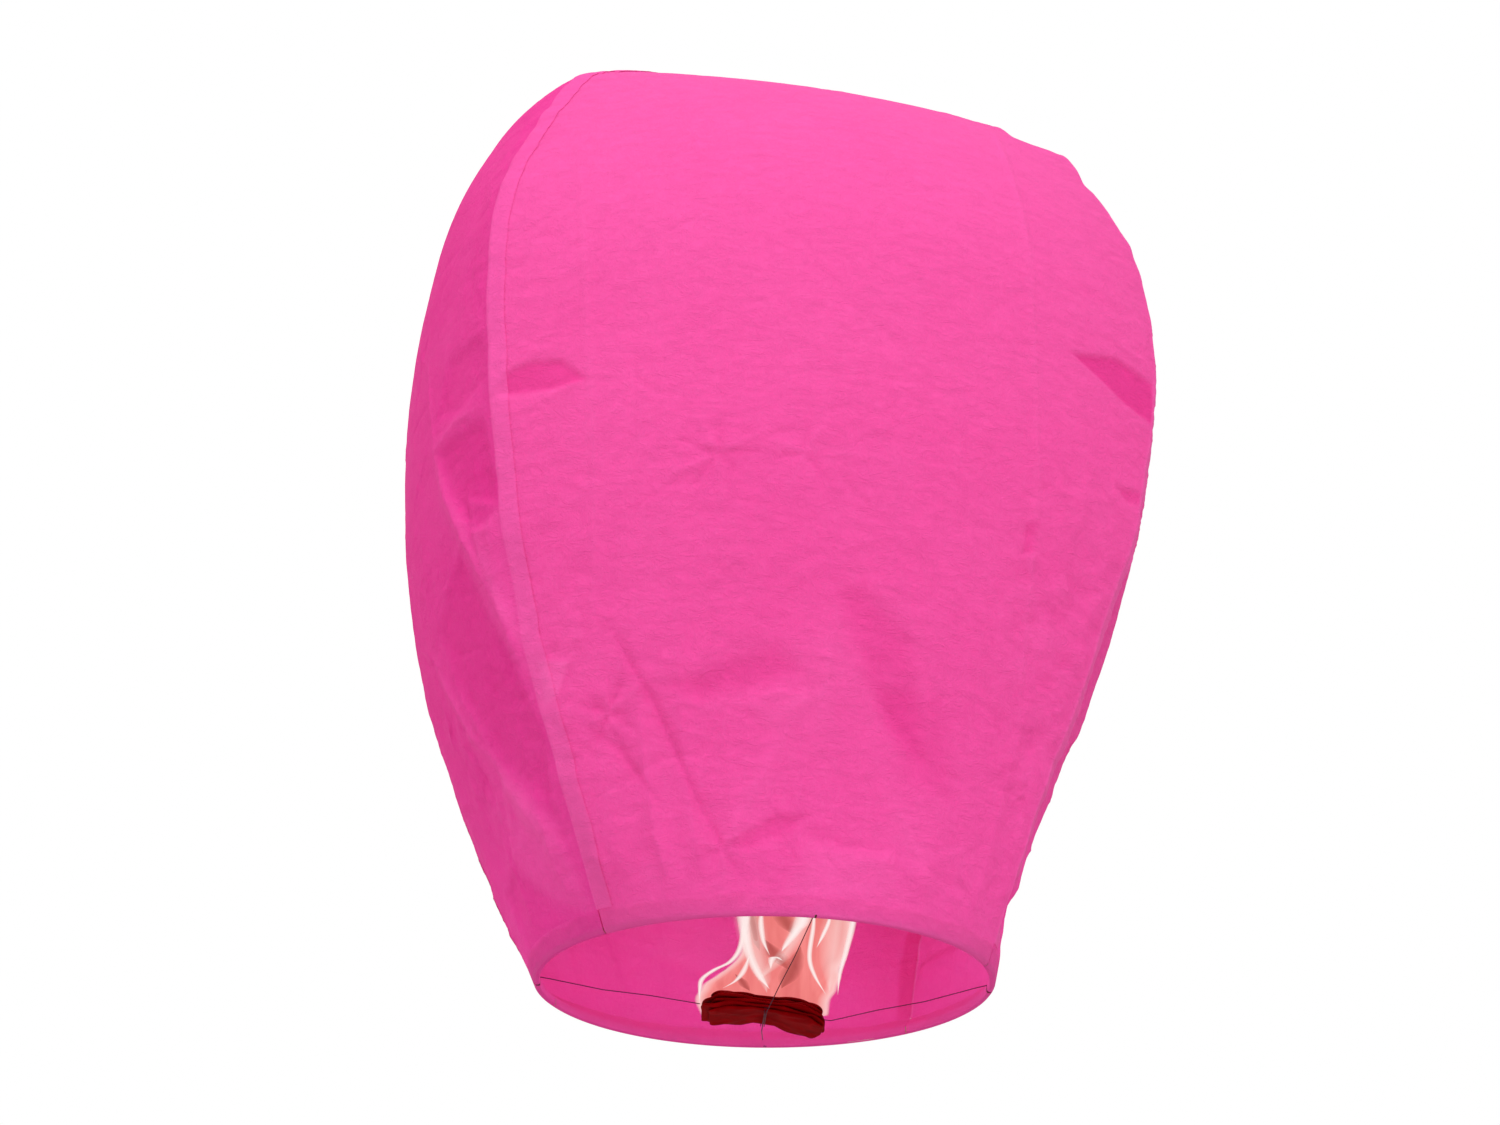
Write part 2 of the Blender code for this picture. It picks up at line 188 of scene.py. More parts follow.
def smooth_noise(x, y, seed):
    """Noise from -1 to 1 with one cell a unit wide."""
    cells = 64
    table = np.random.default_rng(seed).uniform(-1, 1, (cells, cells))
    column = np.floor(x).astype(int)
    row = np.floor(y).astype(int)
    fx = x - column
    fy = y - row
    fx = fx * fx * (3 - 2 * fx)
    fy = fy * fy * (3 - 2 * fy)
    left, right = column % cells, (column + 1) % cells
    low, high = row % cells, (row + 1) % cells
    a, b, c, d = table[low, left], table[low, right], table[high, left], table[high, right]
    return (a + (b - a) * fx) * (1 - fy) + (c + (d - c) * fx) * fy


def crumple(x, y, size, seed, turned=0.0, octaves=3):
    """Sharp-ridged crumples: the creases are where noise crosses zero."""
    height = np.zeros_like(x)
    strength = 1.0
    total = 0.0
    for octave in range(octaves):
        angle = turned + 0.9 * octave
        u = (x * math.cos(angle) + y * math.sin(angle)) / size
        v = (y * math.cos(angle) - x * math.sin(angle)) / size
        warp = smooth_noise(u * 1.7 + 5, v * 1.7 + 3, seed + 31 + octave)
        height += strength * (0.5 - np.abs(smooth_noise(u + 0.6 * warp, v + 0.4 * warp, seed + octave)))
        total += strength
        strength *= 0.5
        size *= 0.52
    return height / total


def facets(x, y, size, seed):
    """Flat facets: each spot takes the height of its nearest cell's own tilted plane."""
    cells = 32
    blend = 0.55
    rng = np.random.default_rng(seed)
    offsets = rng.uniform(0, 1, (cells, cells, 2))
    tilts = rng.uniform(-1, 1, (cells, cells, 2))
    column = np.floor(x / size).astype(int)
    row = np.floor(y / size).astype(int)
    best = np.full(x.shape, 1e9)
    second = np.full(x.shape, 1e9)
    height = np.zeros_like(x)
    other = np.zeros_like(x)
    for step_y in (-1, 0, 1):
        for step_x in (-1, 0, 1):
            i = (column + step_x) % cells
            j = (row + step_y) % cells
            dx = x / size - (column + step_x) - offsets[j, i, 0]
            dy = y / size - (row + step_y) - offsets[j, i, 1]
            away = dx * dx + dy * dy
            plane = dx * tilts[j, i, 0] + dy * tilts[j, i, 1]
            nearer = away < best
            between = (~nearer) & (away < second)
            other = np.where(nearer, height, np.where(between, plane, other))
            second = np.where(nearer, best, np.where(between, away, second))
            height = np.where(nearer, plane, height)
            best = np.where(nearer, away, best)
    mixing = np.clip((np.sqrt(second) - np.sqrt(best)) / blend, 0, 1)
    return height * (0.5 + 0.5 * mixing) + other * (0.5 - 0.5 * mixing)


def fold(x, y, line, depth, width, taper=0.15):
    """A sharp crease along a line of points: negative depth is a valley."""
    height = np.zeros_like(x)
    for (ax, ay), (bx, by) in zip(line[:-1], line[1:]):
        length = math.hypot(bx - ax, by - ay)
        t = np.clip(((x - ax) * (bx - ax) + (y - ay) * (by - ay)) / length**2, 0, 1)
        away = np.hypot(x - ax - t * (bx - ax), y - ay - t * (by - ay))
        height = np.maximum(height, np.exp(-away / width))
    for ex, ey in (line[0], line[-1]):
        near = np.hypot(x - ex, y - ey)
        height = height * np.clip(0.25 + near / (taper * 0.4 + 1e-6), 0, 1)
    return depth * height


def star(x, y, place, arms, reach, depth, seed):
    """Short creases that run out from a point, as where two packing folds cross."""
    rng = np.random.default_rng(seed)
    height = np.zeros_like(x)
    for arm in range(arms):
        angle = math.tau * (arm + rng.uniform(-0.3, 0.3)) / arms
        length = reach * rng.uniform(0.5, 1.0)
        end = (place[0] + length * math.cos(angle), place[1] + length * math.sin(angle))
        sign = 1 if arm % 2 else -1
        height += fold(x, y, [place, end], sign * depth, STAR_WIDTH, taper=0.02)
    return height


def fade(values, low, high):
    """0 below low, 1 above high, smooth between."""
    t = np.clip((values - low) / (high - low), 0, 1)
    return t * t * (3 - 2 * t)


def hem_pleats(x, y, seed):
    """Soft pleats that fan up from the gathered hem and die away."""
    spread = x / (0.75 + 1.1 * y)
    waves = smooth_noise(spread / 0.035, np.full_like(x, 0.5) + y / 0.5, seed)
    fine = smooth_noise(spread / 0.014, y / 0.3, seed + 7)
    grown = fade(y, 0.004, 0.05) * np.exp(-y / PLEAT_REACH)
    return PLEAT_DEPTH * (1 - 2 * np.abs(waves) + 0.35 * fine) * grown


def seam_pucker(edge, y, seed):
    """Short wrinkles across a glued seam, strongest right beside it."""
    waves = crumple(edge * 0.6, y, 0.02, seed, turned=0.5)
    return PUCKER_DEPTH * waves * np.exp(-edge / PUCKER_REACH)


def crease_field(x, y, count, seed):
    """Many short sharp creases, more of them low down, as packed tissue keeps."""
    rng = np.random.default_rng(seed)
    height = np.zeros_like(x)
    for _ in range(count):
        middle = np.array([rng.uniform(-0.28, 0.28), 0.02 + 0.93 * rng.uniform() ** 1.5])
        angle = rng.normal(0.0, 0.55)
        reach = rng.uniform(0.008, 0.04) * np.array([math.cos(angle), math.sin(angle)])
        bend = rng.uniform(-0.35, 0.35) * np.array([-reach[1], reach[0]])
        line = [middle - reach, middle + bend, middle + reach]
        depth = rng.choice((-1, 1)) * rng.uniform(0.0005, 0.0015)
        height += fold(x, y, line, depth, CREASE_WIDTH, taper=0.03)
    return height


def common_wear(x, y, edge, seed):
    """The general crumple of every panel, calmer higher up; edge is how far the nearest seam is."""
    lower = 1 - fade(y, 0.25, 0.6)
    height = 0.0017 * facets(x, y, 0.085, seed) * (0.35 + 0.65 * lower)
    height += 0.0009 * facets(x + 0.3, y, 0.034, seed + 3) * (0.3 + 0.7 * lower)
    height += 0.0010 * crumple(x, y * 1.8, 0.06, seed + 5) * (0.4 + 0.6 * lower)
    height += 0.00040 * crumple(x, y * 1.6, 0.016, seed + 9, octaves=2) * (0.5 + 0.5 * lower)
    height += crease_field(x, y, CREASES, seed + 17)
    height += seam_pucker(edge, y, seed + 11)
    height += hem_pleats(x, y, seed + 13)
    return height


def folds(x, y, lines):
    """The folds of one of the tables."""
    height = np.zeros_like(x)
    for line, depth, width in lines:
        height += fold(x, y, np.array(line) / 1000, depth / 1000, width / 1000)
    return height


# Each fold is its points on the flattened panel, across from its middle and up from the hem, then
# its depth and width, all in millimetres
FRONT_FOLDS = (
    # the packing creases that run up both sides and across
    (((-235, 675), (-230, 555), (-220, 460), (-200, 335), (-190, 240)), 1.7, 3),
    (((155, 780), (155, 650), (160, 515), (175, 350), (178, 180)), 1.9, 3),
    (((-165, 367), (-150, 375), (-65, 373), (40, 375), (90, 372)), 0.9, 2.5),
    (((-180, 315), (-155, 330), (-125, 350)), -1.2, 4),
    # the long dark creases low on the left, and where they cross above the hem
    (((-178, 232), (-154, 194), (-134, 164), (-103, 104), (-79, 52)), -3.2, 3.6),
    (((-193, 155), (-160, 130), (-140, 105), (-122, 83)), -2.6, 3.2),
    (((-205, 190), (-175, 160), (-150, 120), (-135, 100)), -1.2, 2.8),
    (((-79, 52), (-65, 30)), -1.4, 3),
    (((-79, 52), (-105, 10)), -1.4, 3),
    (((-100, 50), (-165, 25)), 1.4, 8),
    (((-25, 70), (0, 65), (20, 60), (55, 60)), -1.8, 3),
    # the soft ridges that fan up from the hem
    (((50, 120), (80, 60), (100, 20)), 3, 12),
    (((-10, 190), (-50, 100), (-90, 30)), 2.6, 16),
    (((5, 250), (0, 200), (-5, 130)), 2.2, 10),
    # crumples beside the right-hand seam
    (((165, 240), (190, 245), (205, 240)), -1.6, 3),
    (((155, 130), (185, 130), (200, 120)), -1.4, 3),
    (((130, 90), (155, 90)), -1.4, 3),
    (((180, 165), (220, 155)), 1.6, 4),
    (((160, 255), (190, 275), (215, 285)), -1.4, 3),
    (((155, 90), (120, 70), (90, 55)), 1.2, 4),
    (((170, 540), (230, 555), (285, 565)), 1, 5),
    (((170, 570), (220, 575), (265, 570)), -0.9, 4),
    (((165, 345), (170, 325)), -1.8, 4),
    # cross wrinkles from the left-hand seam
    (((-290, 570), (-245, 565)), -1, 3),
    (((-290, 535), (-250, 525)), 1, 3),
    (((-285, 500), (-235, 500)), -1, 3),
    (((-300, 419), (-280, 421)), 1.6, 2.2),
    (((-295, 370), (-265, 369)), 1.4, 2.2),
    (((-295, 364), (-265, 363)), -1.2, 2.2),
    (((-275, 685), (-250, 690), (-230, 675)), -2, 5),
)

# The unseen back gore: the same packing creases, and soft folds from the hem
BACK_FOLDS = (
    (((-180, 780), (-170, 550), (-175, 350), (-160, 200)), 1.2, 3),
    (((200, 740), (190, 550), (180, 350), (165, 220)), 1.2, 3),
    (((-160, 372), (-60, 368), (60, 374), (150, 368)), 1, 2.5),
    (((160, 230), (130, 170), (90, 100), (70, 40)), -2.8, 3.6),
    (((-150, 200), (-120, 130), (-80, 50)), -2.8, 3.6),
    (((0, 260), (-20, 170), (-30, 90)), 2.8, 12),
    (((280, 600), (230, 610)), -1.2, 3),
    (((-290, 570), (-230, 565)), 1.2, 3),
)

# The left gore's long ridges from its middle down to the hem
LEFT_FOLDS = (
    (((80, 425), (105, 375), (135, 310), (150, 260), (160, 190)), 5.5, 9),
    (((80, 435), (125, 440), (175, 435)), 3.2, 6),
    (((55, 530), (65, 490), (80, 435)), 2.2, 4),
    (((10, 280), (35, 225), (50, 180), (70, 160)), 4, 6),
    (((65, 150), (85, 115), (110, 60)), 4.5, 18),
    (((30, 190), (35, 150), (45, 110)), -2.6, 6),
    (((100, 385), (125, 400)), 1.8, 4),
    (((115, 330), (140, 345)), -1.6, 4),
)

# Each patch is its corners, how soft its edges are, its tone (painted shade below zero, painted light above)
# and its depth, in millimetres but for tone
PATCHES = {
    "front": (
        (((0, 260), (20, 270), (30, 265), (70, 230), (90, 130), (50, 155)), 20, -0.8, -2.8),
        (((40, 190), (100, 190), (120, 105), (70, 115)), 20, -0.6, -1.6),
        (((-135, 180), (-80, 200), (-45, 215), (-20, 195), (-45, 180), (-100, 165)), 20, -0.9, -2.8),
        (((-70, 165), (-40, 180), (-5, 175), (-40, 145)), 12, 0.5, 1.6),
        (((-75, 55), (-35, 80), (-10, 80), (-25, 65), (-60, 50)), 12, -0.8, -2.6),
        (((-15, 60), (55, 55), (70, 20), (-40, 5)), 20, 0.6, 1.8),
        (((-300, 425), (-285, 447), (-265, 453), (-240, 452), (-215, 432), (-250, 425)), 7, -1.5, -2.4),
        (((200, 508), (255, 522), (305, 515), (310, 475), (265, 483), (235, 495)), 6, -1.9, -2.6),
        (((260, 405), (295, 412), (300, 400), (275, 396)), 6, -1.1, -2),
        (((-300, 645), (-290, 668), (-265, 677), (-280, 658)), 6, -1.2, -2),
        (((-232, 205), (-205, 202), (-212, 175), (-222, 168)), 4, 1.8, 1),
        (((165, 348), (178, 352), (178, 325), (165, 322)), 4, -0.9, -1.2),
    ),
    "left": (
        (((85, 460), (110, 505), (185, 500), (185, 455), (130, 445)), 14, -0.4, -2.4),
        (((85, 430), (175, 425), (180, 345), (140, 335), (100, 385)), 14, -0.9, -3),
        (((110, 380), (180, 350), (180, 240), (163, 190), (150, 260)), 6, 0.8, 2),
        (((40, 285), (110, 330), (145, 230), (150, 150), (120, 100), (70, 155)), 14, -0.7, -2.6),
        (((70, 155), (120, 85), (115, 10), (70, 35), (30, 85)), 14, 0.7, 2.6),
        (((25, 80), (65, 35), (80, 5), (-5, 10), (-30, 70)), 12, -0.7, -2.4),
    ),
    "right": (
        (((-120, 200), (-40, 260), (0, 220), (-60, 150)), 14, -0.7, -2.6),
        (((40, 420), (100, 470), (140, 430), (70, 380)), 14, -0.7, -2.6),
        (((-160, 75), (160, 75), (160, 15), (-160, 15)), 20, -0.3, -6),
    ),
    "back": (
        (((-200, 300), (-100, 360), (-60, 330), (-120, 260)), 20, -0.7, -2.6),
        (((50, 200), (130, 260), (170, 230), (100, 150)), 20, -0.7, -2.6),
        (((-20, 520), (100, 550), (120, 520), (20, 480)), 15, 0.6, 2),
        (((220, 460), (290, 490), (300, 450), (240, 440)), 8, -1.2, -2.4),
        (((-290, 500), (-230, 520), (-220, 490), (-280, 470)), 8, -1.2, -2.4),
        (((-70, 100), (20, 130), (40, 80), (-30, 50)), 15, 0.6, 2),
    ),
}


def patch(x, y, corners, soft):
    """1 inside a convex outline, 0 outside it, with the change spread over a soft edge."""
    corners = np.array(corners) / 1000
    soft = soft / 1000
    middle = corners.mean(axis=0)
    inside = np.full(np.shape(x), 1e9)
    for (ax, ay), (bx, by) in zip(corners, np.roll(corners, -1, axis=0)):
        length = math.hypot(bx - ax, by - ay)
        away = ((x - ax) * (by - ay) - (y - ay) * (bx - ax)) / length
        facing = (middle[0] - ax) * (by - ay) - (middle[1] - ay) * (bx - ax)
        inside = np.minimum(inside, away * math.copysign(1, facing))
    return fade(inside, -0.35 * soft, 0.65 * soft)


# Where packing folds cross: the place, how many arms, their reach and their depth, in metres
FRONT_STARS = (
    ((-0.106, 0.366), 9, 0.045, 0.0015),
    ((-0.036, 0.372), 7, 0.035, 0.0015),
    ((-0.079, 0.052), 7, 0.035, 0.0011),
    ((-0.17, 0.16), 9, 0.030, 0.0018),
)


def front_creases(x, y):
    """The front gore's own folds, stars and crumples."""
    height = folds(x, y, FRONT_FOLDS)
    for seed, spot in enumerate(FRONT_STARS, 41):
        height += star(x, y, *spot, seed)
    near_right = fade(x, 0.12, 0.19) * fade(y, 0.08, 0.13) * (1 - fade(y, 0.30, 0.36))
    height += 0.0022 * near_right * facets(x, y, 0.022, 77)
    near_left = (1 - fade(x, -0.22, -0.14)) * fade(y, 0.08, 0.13) * (1 - fade(y, 0.24, 0.32))
    height += 0.0018 * near_left * facets(x, y, 0.018, 78)
    return height


def left_creases(x, y):
    """The left gore's long ridges and the crumple low on it."""
    height = folds(x, y, LEFT_FOLDS)
    low = fade(y, 0.08, 0.12) * (1 - fade(y, 0.20, 0.26)) * fade(x, -0.03, 0.01) * (1 - fade(x, 0.06, 0.10))
    height += 0.0034 * low * facets(x, y, 0.022, 91)
    return height


def own_creases(panel, x, y):
    """The folds that belong to one panel."""
    if panel == "front":
        return front_creases(x, y)
    if panel == "left":
        return left_creases(x, y)
    if panel == "back":
        return folds(x, y, BACK_FOLDS) + star(x, y, (0.02, 0.371), 9, 0.045, 0.0018, 45)
    return np.zeros_like(x)


def paper_height(panel, x, y, edge):
    """How far the crinkled paper stands off the smooth wall."""
    height = common_wear(x, y, edge, 100 * (1 + PANELS.index(panel))) + own_creases(panel, x, y)
    for corners, soft, _, depth in PATCHES[panel]:
        height += depth / 1000 * patch(x, y, corners, soft)
    return height


def paper_place(panel, turn, share):
    """Where a point lies on the flattened panel: across from its middle, and up from the hem."""
    return turn * half_length(panel, share), np.interp(share, SEAM_SHARES, LENGTHS[panel])


# How deep a fold is when it takes the whole of its tone: painted shade in a valley, painted highlight on a
# ridge
FULL_SHADE_DEPTH = 0.004


def painted_fold_light(panel, turn, share):
    """The tone of the paper's colour: painted shade in fold valleys and dented patches, painted light on
    ridges and raised patches.
    """
    x, y = paper_place(panel, turn, share)
    tone = np.clip(own_creases(panel, x, y) / FULL_SHADE_DEPTH, -0.8, 0.8)
    for corners, soft, shade, _ in PATCHES[panel]:
        tone += shade * patch(x, y, corners, soft)
    return np.clip(tone, -2.5, 2)


# Where a seam is pulled in: the share up it, how far the pull spreads and how deep it is
SEAM_TUCKS = {"front": ((0.60, 0.05, -0.006), (0.86, 0.03, -0.008))}
SEAM_REACH = 0.035


def seam_shift(owner, share):
    """How far the seam at the end of its owner wanders in or out, at each share."""
    middle = np.full_like(share, 0.5)
    seed = 500 + PANELS.index(owner)
    amount = 0.0030 * smooth_noise(share / 0.055, middle, seed)
    amount = amount + 0.0014 * smooth_noise(share / 0.018, middle, seed + 20)
    amount = amount * fade(share, 0.03, 0.1) * (1 - fade(share, 0.95, 0.985))
    for place, spread, depth in SEAM_TUCKS.get(owner, ()):
        amount = amount + depth * np.exp(-(((share - place) / spread) ** 2))
    return amount


def seam_wander(panel, turn, share):
    """The seams' own small wander, the same on both of the panels that meet at each one."""
    share = np.asarray(share, float)
    shift = np.zeros((*np.broadcast(turn, share).shape, 3))
    for end, owner in ((-1, PANELS[PANELS.index(panel) - 1]), (1, panel)):
        own = wall_normals(owner, np.ones_like(share), share)
        following = wall_normals(next_panel(owner), -np.ones_like(share), share)
        away = half_length(panel, share) * (1 - end * turn)
        amount = seam_shift(owner, share) * np.exp(-away / SEAM_REACH)
        shift += unit(own + following) * amount[..., None]
    return shift


def crinkled_points(panel, turn, share, lift=0.0):
    """Points on the crinkled wall, whose wrinkles die out at the hem and grow small at the seams."""
    x, y = paper_place(panel, turn, share)
    edge = half_length(panel, share) - np.abs(x)
    height = paper_height(panel, x, y, edge)
    calm = fade(share, LEG_SHARE * 0.9, LEG_SHARE * 3) * (1 - fade(share, 0.97, 0.992))
    calm = calm * (0.12 + 0.88 * fade(edge, 0.0, 0.02))
    offset = (height * calm + lift)[..., None]
    crinkled = wall_points(panel, turn, share) + wall_normals(panel, turn, share) * offset
    return crinkled + seam_wander(panel, turn, share)


# ---- mesh helpers


def add_object(name, data):
    """A new object in the scene for a mesh, a light or a camera."""
    item = bpy.data.objects.new(name, data)
    bpy.context.collection.objects.link(item)
    return item


def new_object(name, points, faces):
    mesh = bpy.data.meshes.new(name)
    mesh.from_pydata([tuple(point) for point in points], [], faces)
    mesh.shade_smooth()
    return add_object(name, mesh)


def grid_faces(rows, columns, closed=False):
    """Faces of a grid stored row by row."""
    last = columns if closed else columns - 1
    return [(row * columns + column, row * columns + (column + 1) % columns,
             (row + 1) * columns + (column + 1) % columns, (row + 1) * columns + column)
            for row in range(rows - 1) for column in range(last)]


def capped_rings(rings, ends):
    """Points and faces of a stack of closed rings, shut at the middle of an end ring on each side."""
    around = len(rings[0])
    points = [*np.concatenate(rings), *(ring.mean(axis=0) for ring in ends)]
    first, last = len(points) - 2, len(points) - 1
    start = (len(rings) - 1) * around
    faces = grid_faces(len(rings), around, closed=True)
    faces += [((spot + 1) % around, spot, first) for spot in range(around)]
    faces += [(start + spot, start + (spot + 1) % around, last) for spot in range(around)]
    return points, faces


def store(item, name, values):
    """A number at each vertex, for the material to read."""
    attribute = item.data.attributes.new(name, "FLOAT", "POINT")
    attribute.data.foreach_set("value", np.asarray(values, np.float32).ravel())


# ---- paper panels


def panel_turns(panel, share):
    """Turns across a gore at one share: even, with the first edge just inside its seam."""
    return np.linspace(-1 + 0.001 / half_length(panel, share), 1, COLUMNS[panel])


def gore_grid(panel, shares):
    """Points, lap marks and tones (painted fold shade and light) of a gore and its flap over the next panel.
    """
    share = np.repeat(shares[:, None], COLUMNS[panel], axis=1)
    turn = np.stack([panel_turns(panel, np.array(value)) for value in shares])
    own = crinkled_points(panel, turn, share)
    over = next_panel(panel)
    half = half_length(over, shares)
    inset = np.minimum(LAP, 0.2 * half)
    ragged = inset * (1 + 0.06 * smooth_noise(shares * 55, np.zeros_like(shares) + 0.5, 21))
    steps = np.linspace(0, 1, FLAP_COLUMNS)[None, :]
    flap_turn = -1 + steps * (ragged / half)[:, None]
    flap_share = np.repeat(shares[:, None], FLAP_COLUMNS, axis=1)
    flap = crinkled_points(over, flap_turn, flap_share, lift=PAPER_GAP)
    points = np.concatenate([own[:, :-1], flap], axis=1)
    lap = np.concatenate([np.zeros(own[:, :-1].shape[:2]), np.ones(flap.shape[:2])], axis=1)
    tone = [painted_fold_light(panel, turn, share)[:, :-1], painted_fold_light(over, flap_turn, flap_share)]
    return points, lap, np.concatenate(tone, axis=1)


def gore_wall(panel):
    """The gore above its hem, down to where the hem's inner leg is glued."""
    shares = LEG_SHARE + (TOP_SHARE - LEG_SHARE) * np.linspace(0, 1, ROWS) ** 0.97
    points, lap, tone = gore_grid(panel, shares)
    rows, columns = lap.shape
    item = new_object(panel + "_gore_paper", points.reshape(-1, 3), grid_faces(rows, columns))
    store(item, "lap", lap)
    store(item, "tone", tone)
    store(item, "lit_side_share", np.full(lap.shape, LIT_SIDE_SHARE[panel]))
    return item


# The hem's rows of points: down the wall, under the hoop and up its inside to the knee
HEM_WALL_ROWS = 6
HEM_UNDER_ROWS = 7
HEM_LEG_ROWS = 3
HEM_LOW_SHARE = 0.002
HEM_ROUND = 0.0018
HEM_LEG_FOOT = 0.0025
HEM_LAP = 0.15


def hem_rings(panel, turn):
    """Rows of points round the hoop's underside and up its inside."""
    heading = unit(wall_points(panel, turn, np.zeros_like(turn)) * np.array([1, 1, 0]))
    inward = HEM_RADIUS - LEG_RADIUS
    angles = np.linspace(0.25, math.pi - 0.25, HEM_UNDER_ROWS)
    under = [(inward * (0.5 - 0.5 * math.cos(angle)), HEM_ROUND * (1 - math.sin(angle))) for angle in angles]
    leg = [(inward, height) for height in np.linspace(HEM_LEG_FOOT, KNEE_HEIGHT, HEM_LEG_ROWS)]
    rings = []
    for step, height in under + leg:
        ring = heading * (HEM_RADIUS - step)
        ring[:, 2] = height
        rings.append(ring)
    return rings


def hem_lines(panel, turn):
    """Rows of points down the wall, round the hoop and up the inner leg to its ragged, glued edge."""
    shares = np.linspace(LEG_SHARE, HEM_LOW_SHARE, HEM_WALL_ROWS)
    lines = [crinkled_points(panel, turn, np.full_like(turn, share)) for share in shares]
    lines += hem_rings(panel, turn)
    knee = lines[-1]
    low = np.full_like(turn, LEG_SHARE)
    glued = wall_points(panel, turn, low) - wall_normals(panel, turn, low) * PAPER_GAP
    rough = smooth_noise(turn * 14, np.full_like(turn, 0.5), 61 + PANELS.index(panel))
    for share in (0.35, 0.7, 1.0):
        lines.append(knee + (glued - knee) * (share * (0.82 + 0.18 * rough))[:, None])
    return lines


def notched(panel, turn):
    """Which columns of the hem's faces are left out where a wire passes."""
    half_angle = SEAM_ANGLE if panel in WIDE else math.pi / 2 - SEAM_ANGLE
    away = np.abs(turn * half_angle - math.radians(WIRE_ANGLES[panel])) * HEM_RADIUS
    return away[:-1] + away[1:] < 2 * NOTCH_HALF


def gore_hem(panel):
    """The gore's lower edge folded round the hoop, slotted below the wall where a wire passes."""
    turn = panel_turns(panel, np.array(0.0))
    grid = np.stack(hem_lines(panel, turn))
    rows, columns = grid.shape[:2]
    left_out = notched(panel, turn)
    slot_start = (HEM_WALL_ROWS - 1) * columns
    faces = [tuple(reversed(face)) for face in grid_faces(rows, columns)
             if face[0] < slot_start or not left_out[face[0] % columns]]
    item = new_object(panel + "_gore_hem", grid.reshape(-1, 3), faces)
    row = np.repeat(np.arange(rows)[:, None], columns, axis=1)
    store(item, "lap", HEM_LAP * (row < HEM_WALL_ROWS))
    # Rows round the hoop and up the inner leg, which the material lightens with a painted highlight
    store(item, "hem", np.abs(row - HEM_WALL_ROWS) <= 1)
    store(item, "inner", row >= HEM_WALL_ROWS + HEM_UNDER_ROWS - 1)
    store(item, "lit_side_share", np.full(row.shape, LIT_SIDE_SHARE[panel]))
    return item


SEAL_STEPS = 40
SEAL_RINGS = 14
SEAL_TOP = 0.9985


def seal_ring(share):
    """A closed ring of points round the crown, lifted off the gores and a little wavy."""
    sides = []
    for panel in PANELS:
        turn = np.linspace(-1, 1, SEAL_STEPS, endpoint=False)
        value = np.full(SEAL_STEPS, share)
        wavy = 0.0007 * smooth_noise(turn * 6 + PANELS.index(panel) * 9, value * 150, 71)
        normals = wall_normals(panel, np.clip(turn, -0.95, 0.95), value)
        sides.append(wall_points(panel, turn, value) + normals * (PATCH_LIFT + wavy)[:, None])
    return np.concatenate(sides)


def crown_paper():
    """The seal over the four gores' tips, a little rumpled."""
    rings = [seal_ring(share) for share in np.linspace(PATCH_SHARE, SEAL_TOP, SEAL_RINGS)]
    size = len(rings[0])
    points = [*np.concatenate(rings), rings[-1].mean(axis=0)]
    middle = len(points) - 1
    last = middle - size
    faces = grid_faces(len(rings), size, closed=True)
    faces += [(last + side, last + (side + 1) % size, middle) for side in range(size)]
    item = new_object("crown_patch_paper", points, faces)
    store(item, "lap", np.full(len(points), 0.7))
    return item


# ---- materials

# The tissue's pinks, in linear colour, several of them with painted light or painted shade in them
# Painted shade: the deeper pink of the gore turned away from the light
PINK_SHADED_SIDE = (0.89, 0.048, 0.355)
# Painted light from above: the pink grows paler from low to high
PINK_LOW = (0.90, 0.078, 0.375)
PINK_MIDDLE = (0.92, 0.092, 0.40)
PINK_HIGH = (0.89, 0.108, 0.415)
PINK_PALE = (0.96, 0.135, 0.475)
PINK_FIBRE = (1.0, 0.24, 0.60)
# The doubled paper's paler pink at laps, used as well for the painted highlight on ridges and hem edges
PINK_LAP_AND_HIGHLIGHT = (1.0, 0.155, 0.51)
# Painted shade in fold valleys
PINK_VALLEY_SHADE = (0.78, 0.022, 0.26)
# How strongly ridges take painted highlight, valleys painted shade, laps their doubled paper's pink and hem
# edges painted highlight, and the share of light let through
RIDGE_HIGHLIGHT = 0.30
VALLEY_SHADE = 0.32
LAP_TINT = 0.55
HEM_HIGHLIGHT = 0.25
SHINE_THROUGH = 0.22
GRAIN_DEPTH = 0.0004


